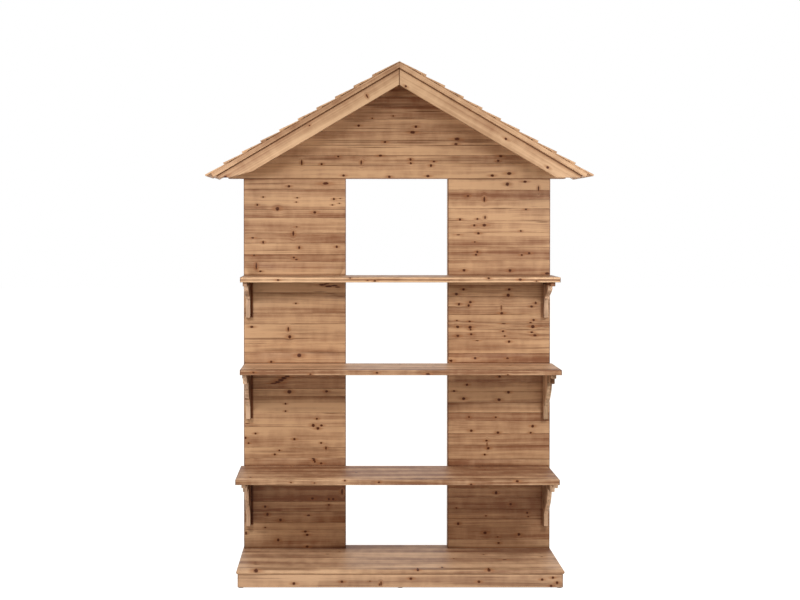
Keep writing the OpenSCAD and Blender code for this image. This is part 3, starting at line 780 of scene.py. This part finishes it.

# Knots, in millimetres: place in X and Z, radius along and across the plank
LEFT_KNOTS = """
-423 1490 5 4.5, -279 1501 10 5, -524 1448 3 3, -547 1417 3.5 4, -391 1445 4 2.5, -394 1428 3 2.5,
-247 1440 4 4, -222 1442 3.5 1.8, -226 1423 3 2, -253 1417 3.5 2.5, -468 1402 6.5 7,
-322 1388 5.5 4.5, -393 1331 4 2, -406 1305 3.5 9, -565 1288 5 3, -524 1271 3.5 5, -383 1250 4 5,
-236 1253 4 4.5, -560 1220 4 3, -404 1211 4 3.5, -394 1203 5 2.5, -551 1178 3 12, -535 1157 4.5 3,
-292 1104 12 3, -268 1098 12 3.4, -246 1101 12 2.8, -232 1095 9 2.2, -275 1108 9 2, -310 1100 8 1.6,
-352 1071 40 1.3, -305 1077 26 1.5, -262 1070 22 1.6, -240 1064 22 1.6, -222 1058 16 1.8,
-396 1031 3.5 2.8, -569 939 6 4, -426 930 3 8, -420 900 5.5 6, -383 827 7.5 6.5, -493 802 4 4,
-483 717 11 2.6, -468 722 10 3.8, -455 730 10 4.8, -443 738 10 4.4, -430 745 9 3.2,
-422 684 7.5 6.5, -276 686 5 4, -437 637 3.5 3.5, -437 608 3.5 3, -314 578 4 3.5, -328 552 5.5 6,
-296 552 5 4, -310 540 5.5 5, -555 520 4 3.5, -402 498 4.5 4, -582 482 3.5 3, -297 483 3.5 3.5,
-278 463 3 6, -461 454 3.5 3, -479 438 4 3.5, -328 421 6 2.5, -325 416 5 4, -322 409 3.5 4,
-297 403 4.5 3.5, -331 264 5 4, -267 262 4 4, -250 262 4.5 4, -267 239 4 3, -517 232 4.5 4,
-508 202 4.5 5.5, -457 180 5 4.5, -347 198 6 3, -517 150 3 2.5, -359 134 5 3.5, -352 121 5 4,
-466 101 4.5 5.5, -352 75 5.5 4, -592 128 3.5 5.5, -215 291 3.5 11, -530 132 26 1.5,
-425 1479 26 1.2, -385 616 185 10, -290 456 100 6, -480 449 100 5, -262 600 30 2, -594 503 4 4,
-587 560 9 1.4, -400 927 120 7, -330 912 110 5, -470 850 100 7, -300 838 90 5, -465 1209 75 1.3,
-230 1366 25 1.2, -535 1285 25 0.9
"""
RIGHT_KNOTS = """
432 1498 6 6, 501 1508 6.5 4, 342 1439 3.5 9, 247 1360 4.5 4, 315 1362 4 3.5, 345 1368 3 6,
303 1337 4.5 4, 342 1338 6.5 5, 319 1306 5 4.5, 485 1315 3.5 3.5, 315 1233 4 4, 310 1222 4.5 3.5,
518 1228 5 4, 489 1221 4 3.5, 263 1161 5.5 4.5, 443 1160 5.5 5, 589 1149 8 4, 261 1086 4.5 4,
233 1068 5.5 4.5, 440 1086 5 4, 436 1063 6 6, 243 1028 4.5 4.5, 288 1036 5.5 4.5, 281 1023 4 5,
255 1014 24 1.1, 411 993 5.5 4.5, 409 1014 1.8 9, 544 1033 4 5, 528 1019 5 4, 235 964 3.5 2.5,
285 960 4.5 3, 238 939 5.5 5, 287 938 6 5.5, 289 928 4 3, 239 904 5.5 4, 291 910 4.5 3.5,
416 922 4.5 3.5, 423 903 3.5 3, 440 881 5 4.5, 315 885 6 1.8, 418 952 8 1.8, 536 966 4.5 4,
524 956 4.5 2.5, 533 940 6.5 6, 529 918 5.5 3, 541 906 6 4, 212 806 6 4, 307 816 5 4, 434 816 5 3,
403 744 5 3.5, 275 712 4.5 4, 224 687 4.5 3.5, 438 682 5 4.5, 262 657 6 5, 401 653 6 5,
283 585 3.5 3, 388 584 4 3, 533 549 5 5, 292 531 5 4.5, 397 524 5 4.5, 525 523 4 3.5,
352 492 4.5 3.5, 354 477 1.4 9, 359 462 5 4.5, 345 437 4 3.5, 390 287 4.5 6, 447 242 4.5 4.5,
234 227 3.5 3, 350 196 2.5 2.5, 512 208 3.5 4, 516 193 3 2.5, 241 165 4.5 5, 347 129 6 4.5,
480 123 5.5 5, 396 113 3.5 2.2, 400 89 4.5 3.5, 278 1452 5 3, 405 1404 50 1.8, 505 1400 4.5 3,
570 1350 28 3, 240 1300 7 2, 305 1272 3.5 2.5, 554 1482 2.6 9, 548 1460 45 1.3, 530 1355 50 1.2,
560 1459 35 1.2, 232 1457 35 1.0
"""
GABLE_KNOTS = """
-150 1727 5 4, 74 1723 5 4.5, 61 1701 9 5, 235 1675 9 5, 231 1655 6 4, -47 1663 5 3.5,
-373 1583 3 9, -295 1577 4 4, -140 1583 3 8, -65 1610 6 3.5, 53 1595 4 4.5, 54 1580 4 4,
133 1571 4.5 5, 145 1587 5 3, -230 1607 4 3.5, -209 1532 5 4, -30 1527 5 4, 121 1530 6 4.5,
373 1532 6 4.5, 439 1540 8 5.5, 396 1590 5 4, 406 1608 6 4, -97 1756 3 2.5, -15 1765 3 2.5,
-190 1669 140 3.5, -150 1662 150 3.5, 60 1660 120 3, 330 1671 90 3.5, 300 1663 80 3, -60 1779 110 4,
40 1757 90 3, 120 1783 90 2.5, -150 1745 60 3, 250 1597 160 6, 420 1583 120 5, -300 1597 100 3,
-80 1642 130 2, 0 1838 70 6, 20 1812 90 4, -90 1609 330 1.2, 60 1668 380 2.6, -140 1651 170 1.8,
250 1650 200 1.6, 30 1800 110 3, -100 1716 140 1.6, 150 1590 260 2.4, -200 1572 200 2.2
"""
counts = [len(tones) for tones in (LEFT_TONES, RIGHT_TONES, GABLE_TONES)]
print("planks on the left, the right and the gable:", *counts)


# %% Wall and gable planks
def read_knots(text):
    """The entries of a list of knots, in metres."""
    return [[float(x) / 1000 for x in entry.split()] for entry in text.replace("\n", " ").split(",")]


def tone_of(tones, k):
    return PALEST + TONE_STEP * int(tones[k % len(tones)], 16)


def placed(to_board, place, along, across):
    """A knot at a place on the object, as its board sees it."""
    here = to_board @ Vector(place)
    return here.x, here.y, along, across


def plank_wood(tones, knots, seed):
    """Picks each plank's tone by its digit, and the knots that lie on the plank or over its joint."""
    rng = random.Random(seed)

    def wood_of(k, to_board, size):
        wood = random_wood(rng, size, 0.0, tone_of(tones, k), LITTLE_GREY)
        for x, z, along, across in knots:
            knot = placed(to_board, (x, wall_front, z), along, across)
            if abs(knot[1]) <= size.y / 2 + across and abs(knot[0]) < size.x / 2:
                wood["knots"].append(knot)
        return wood

    return wood_of


X, Y, Z = Vector((1, 0, 0)), Vector((0, 1, 0)), Vector((0, 0, 1))
for node, slot, tones, text, seed in (
        ("left_wall_planks", "wall_planks", LEFT_TONES, LEFT_KNOTS, 11),
        ("right_wall_planks", "wall_planks", RIGHT_TONES, RIGHT_KNOTS, 12),
        ("gable_planks", "gable_planks", GABLE_TONES, GABLE_KNOTS, 13)):
    count = dress(node, slot, X, -Y, plank_wood(tones, read_knots(text), seed), ease=0)
    print(node, count, "planks")

# %% [markdown]
# ## Shelves and base top
# These boards are wide, so a joiner glues them up from narrow strips. Each strip is its own block
# here, set tight against the next, with its own tone: the glue lines then show as they do on the real
# thing. The strip at the front has its wood's face turned to the front, so that its knots open there.
# A shelf's front edges are rounded a little, and the base top's front and ends are half round.

# %% Strips and their rounded edges
SHELF_ROUND, BASE_ROUND = 0.0025, 0.0083


def block(low, high):
    """A plain block between two corners, as a bmesh."""
    bm = bmesh.new()
    bmesh.ops.create_cube(bm, size=1.0)
    bmesh.ops.scale(bm, vec=high - low, verts=bm.verts[:])
    bmesh.ops.translate(bm, vec=(low + high) / 2, verts=bm.verts[:])
    return bm


def at(edge, axis, value):
    """True if both ends of an edge lie at this value."""
    return all(abs(v.co[axis] - value) < 1e-5 for v in edge.verts)


def round_shelf(bm, low, high, is_front):
    if is_front:
        edges = [e for e in bm.edges if at(e, 1, low.y) and (at(e, 2, low.z) or at(e, 2, high.z))]
        bevel(bm, edges, SHELF_ROUND, 4)


def round_base(bm, low, high, is_front):
    edges = [e for e in bm.edges if at(e, 0, low.x) or at(e, 0, high.x)]
    edges = [e for e in edges if at(e, 2, low.z) or at(e, 2, high.z)]
    if is_front:
        front = [e for e in bm.edges if at(e, 1, low.y)]
        edges += [e for e in front if not at(e, 0, low.x) and not at(e, 0, high.x)]
    bevel(bm, edges, BASE_ROUND, 6)


print("edges rounded by", SHELF_ROUND * 1000, "and", BASE_ROUND * 1000, "mm")

# %% Strip boards
FRONT_GREY, TOP_GREY = 0.15, 0.3
WIDE, HIGH = 1.1, 0.8   # a knot on a front is a little wider than high


def strip_board(node, slot, widths, rounded, seed, tones, vein, front_knots, top_knots=""):
    """A board of glued strips between the corners of a node, from the front to the back."""
    low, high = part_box(node)
    scale = (high.y - low.y) / sum(widths)
    rng = random.Random(seed)
    whole = bmesh.new()
    add_layers(whole)
    y = low.y
    for k, width in enumerate(widths):
        is_front = k == 0
        back = y + width * scale
        bm = block(Vector((low.x, y, low.z)), Vector((high.x, back, high.z)))
        rounded(bm, low, high, is_front)
        add_layers(bm)
        to_board, size = frame_of([v.co for v in bm.verts], X, -Y if is_front else Z)
        wood = random_wood(rng, size, 0.5, tone_of(tones, k), FRONT_GREY if is_front else TOP_GREY)
        if is_front:
            wood["vein"] = vein
            wood["knots"] = [placed(to_board, (x, low.y, z), radius * WIDE, radius * HIGH)
                             for x, z, radius in read_knots(front_knots)]
        elif top_knots:
            wood["knots"] += [placed(to_board, (x, deep, high.z), along, across)
                              for x, deep, along, across in read_knots(top_knots)
                              if y - across <= deep <= back + across]
        verts = cut_cells(bm, set(bm.verts), to_board, size.x)
        write_board(bm, verts, to_board, size, wood)
        mesh = bpy.data.meshes.new("strip")
        bm.to_mesh(mesh)
        bm.free()
        whole.from_mesh(mesh)
        bpy.data.meshes.remove(mesh)
        y = back
    finish_piece(whole, node, slot)
    print(node, len(widths), "strips")


# %% Shelves and base top
# On a front: place in X and Z, and radius. On a top: place in X and Y, radius along and across.
strip_board("upper_shelf", "shelf_boards", (34, 52, 62, 52), round_shelf, 21, "68bb", 0.42, """
-455 1132 4, -184 1140 3, -119 1131 3, -92 1129 4, 336 1139 4, 454 1134 5, 515 1128 3
""")
strip_board("middle_shelf", "shelf_boards", (38, 58, 66, 64), round_shelf, 22, "d454", 0.25, """
-546 788 4, -333 781 3.5, -84 787 4, 106 781 6, 405 779 3
""")
strip_board("lower_shelf", "shelf_boards", (40, 70, 52, 60, 44), round_shelf, 23, "aabab", 0.30, """
-404 384 3, -317 382 3, -204 391 3, -78 385 4, 264 377 4, 435 389 5
""", """
270 118 130 4.5, 265 108 120 4.5, 255 98 105 4.5, 380 112 110 4, 430 119 80 4, 321 98 5 4,
248 86 90 4.5, 240 74 80 4.5
""")
# On the base top, the long marks in its right half are partly stains and partly painted shadow by the
# wall.
strip_board("base_top", "base_boards", (30, 56, 79, 76, 60, 50), round_base, 24, "446698", 0.0, """
-532 65 7, 65 68 4.8, 327 67 5.8
""", """
455 46 75 3.5, 450 36 80 3.5, 425 26 65 3.5, 405 6 85 3.5, 385 -10 65 3, 402 -36 8 5,
500 72 45 3.5, -533 -98 12 2.5, -540 -92 6 2, 560 -60 40 2.5
""")

# %% [markdown]
# ## Plinth, posts and the gable's frame
# These are single boards. Their nodes have the right shape, so each is dressed where it is. Only the
# direction of the grain has to be told: along X for the plinth's front, along Y for its ends, upright
# for the posts and along the slope for the rafters.

# %% Plinth
def loose_wood(seed, knotty=1.0, tone=None, grey=None):
    """A board that stands alone, so that no joint darkens its edges."""
    rng = random.Random(seed)
    return lambda k, to_board, size: {**random_wood(rng, size, knotty, tone, grey), "apart": 1.0}


def front_wood(seed, knots, tone, grey, vein=0.0, spacing=RING_SPACING):
    """A board that shows its face to the front, with its knots placed as listed."""
    rng = random.Random(seed)

    def wood_of(k, to_board, size):
        wood = random_wood(rng, size, 0.0, tone, grey, spacing)
        wood["vein"] = vein
        wood["knots"] += [placed(to_board, (x, 0, z), along, across)
                          for x, z, along, across in read_knots(knots)]
        return wood

    return wood_of


PLINTH_KNOTS = """
-392 17 5 5, -215 24 5 4, -71 17 2.5 8, 39 35 5 4, 290 24 5 4.5, 523 32 4.5 4, 563 39 4.5 4,
578 20 4.5 5, 556 8 4.5 4, -112 26 3 1.5, -77 14 2 5
"""

dress("base_front_rail", "base_boards", X, -Y, front_wood(31, PLINTH_KNOTS, 0.16, 0.4, 0.16))
for node, slot, along, face, seed in (
        ("base_back_rail", "base_boards", X, Y, 32),
        ("base_left_rail", "base_boards", Y, -X, 33),
        ("base_right_rail", "base_boards", Y, X, 34),
        ("base_bearers", "frame_timber", Y, X, 35),
        ("base_corner_blocks", "frame_timber", Z, X, 36)):
    dress(node, slot, along, face, loose_wood(seed))
print("plinth dressed")

# %% Posts and the gable's frame
PITCH = math.radians(30.5)
RIGHT_SLOPE = Vector((math.cos(PITCH), 0, -math.sin(PITCH)))
LEFT_SLOPE = Vector((math.cos(PITCH), 0, math.sin(PITCH)))
FRAME_EASE = 0.0012

uprights = ("left_outer_post", "left_inner_post", "right_inner_post", "right_outer_post", "king_post")
for k, node in enumerate(uprights):
    dress(node, "frame_timber", Z, Y, loose_wood(40 + k, 0.8), ease=FRAME_EASE)
for node, along, face, seed in (
        ("tie_beam", X, Y, 45),
        ("left_rafter", LEFT_SLOPE, Y, 46),
        ("right_rafter", RIGHT_SLOPE, Y, 47),
        ("ridge_beam", Y, -Z, 48),
        ("left_purlin", Y, -Z, 49),
        ("right_purlin", Y, -Z, 49)):
    dress(node, "frame_timber", along, face, loose_wood(seed), ease=FRAME_EASE)
print("posts and frame dressed")

# %% [markdown]
# ## Brackets
# A bracket is sawn from a board with its grain upright, so that the leg is strong. The saw leaves the
# curves, and a round-over softens their edges. The node has the full outline already. Each bracket has
# three tones, for its inner side, its front and its outer side: the sawn front is pale on all but one
# bracket and the sides are browner, partly as wood and partly as painted light and shade, and the
# inner sides carry painted shadow, most on the left. Painted shade darkens the tips of the upper pair.

# %% Brackets
# The inner sides' tones are painted shadow, darker on the left brackets.
INNER = {"left": 1.0, "right": 0.5}
OUTER = 0.45
SAWN = {
    "upper_left": 0.04, "upper_right": 0.06, "middle_left": 0.06, "middle_right": 0.70,
    "lower_left": 0.12, "lower_right": 0.10,
}
UPPER_EASE, LOWER_EASE = 0.0022, 0.003


def bracket_wood(seed, inner, sawn):
    """Browner planed sides and a paler sawn and sanded front, partly painted light and shade."""
    rng = random.Random(seed)

    def wood_of(k, to_board, size):
        return {**random_wood(rng, size, 0.4, 0.3), "side_tones": (inner, sawn, OUTER), "apart": 1.0}

    return wood_of


for k, level in enumerate(LEVELS):
    for side, outward in (("left", -X), ("right", X)):
        seed = 50 + 2 * k + (side == "left")
        wood = bracket_wood(seed, INNER[side], SAWN[f"{level}_{side}"])
        dress(f"{level}_{side}_bracket", "bracket_boards", Z, outward, wood,
              ease=UPPER_EASE if level == "upper" else LOWER_EASE, segments=3, shortest=0.002)
print("six brackets dressed")

# %% [markdown]
# ## Roof
# Two fascia boards meet at the ridge in an upright mitre. Behind them lie the roof boards, and on
# those the slats, whose grain runs front to back, so their front ends show end grain.

# %% Fascias
LEFT_FASCIA_KNOTS = "-121 1822 2.5 8, -337 1712 2.5 2.5, -654 1519 7 4"
RIGHT_FASCIA_KNOTS = "24 1859 4 4, 267 1777 4 7, 400 1662 5 4, 557 1555 5 4.5"
FASCIA_RINGS = (0.006, 0.009)

for node, slope, seed, knots, tone in (
        ("left_fascia", LEFT_SLOPE, 61, LEFT_FASCIA_KNOTS, 0.26),
        ("right_fascia", RIGHT_SLOPE, 62, RIGHT_FASCIA_KNOTS, 0.38)):
    wood = front_wood(seed, knots, tone, LITTLE_GREY, spacing=FASCIA_RINGS)
    dress(node, "fascia_boards", slope, -Y, wood, ease=FRAME_EASE)
print("fascias dressed")

# %% Roof boards and slats
SLATS = 10
SLAT_EASE = 0.0005
SLAT_TONE, SLAT_STEP = 0.17, 0.04

for side, slope, seed, tone in (("left", LEFT_SLOPE, 63, 0.36), ("right", RIGHT_SLOPE, 64, 0.46)):
    wood = loose_wood(seed, 0.6, tone, LITTLE_GREY)
    dress(f"{side}_roof_boards", "roof_boards", slope, slope.cross(Y), wood)
for side, slope, seed in (("left", LEFT_SLOPE, 70), ("right", RIGHT_SLOPE, 90)):
    for k in range(1, SLATS + 1):
        wood = loose_wood(seed + k, 0.7, SLAT_TONE + SLAT_STEP * (k * k % 5), LITTLE_GREY)
        dress(f"{side}_slat_{k}", "roof_slats", Y, slope.cross(Y), wood, ease=SLAT_EASE, segments=1)
print("roof boards and", 2 * SLATS, "slats dressed")

# %% [markdown]
# ## Screws, nails and glides
# The fasteners keep their nodes. They only need zinc-plated steel, and the glides a dull plastic.

# %% Steel and plastic
def plain_material(name, colour, metallic, roughness, grain_scale, grain_depth):
    """A metal or plastic with a fine uneven surface."""
    material = bpy.data.materials.new(name)
    material.use_nodes = True
    n = Nodes(material.node_tree)
    shader = material.node_tree.nodes["Principled BSDF"]
    place = n.add("ShaderNodeTexCoord").outputs["Object"]
    speck = n.noise(place, grain_scale, 3.0)
    darker = tuple(c * 0.75 for c in colour[:3]) + (1.0,)
    n.feed(n.mix(speck, darker, colour), shader.inputs["Base Color"])
    shader.inputs["Metallic"].default_value = metallic
    n.feed(n.math("MULTIPLY_ADD", speck, 0.2, roughness - 0.1), shader.inputs["Roughness"])
    relief = {"Height": speck, "Strength": 0.3, "Distance": grain_depth}
    n.feed(n.add("ShaderNodeBump", relief).outputs[0], shader.inputs["Normal"])
    return material


zinc = plain_material("zinc", srgb(196, 196, 200), 1.0, 0.35, 900.0, 0.00005)
glide_plastic = plain_material("glide_plastic", srgb(110, 92, 78), 0.0, 0.55, 600.0, 0.0001)
fasteners = ("frame_screws", "base_screws", "wall_nails", "roof_nails", "slat_nails")
for material, slot, names in ((zinc, "fastener_steel", fasteners),
                              (glide_plastic, "glide_plastic", ("base_glides",))):
    for name in names:
        nodes[name].data.materials.clear()
        nodes[name].data.materials.append(material)
print("fasteners and glides finished")
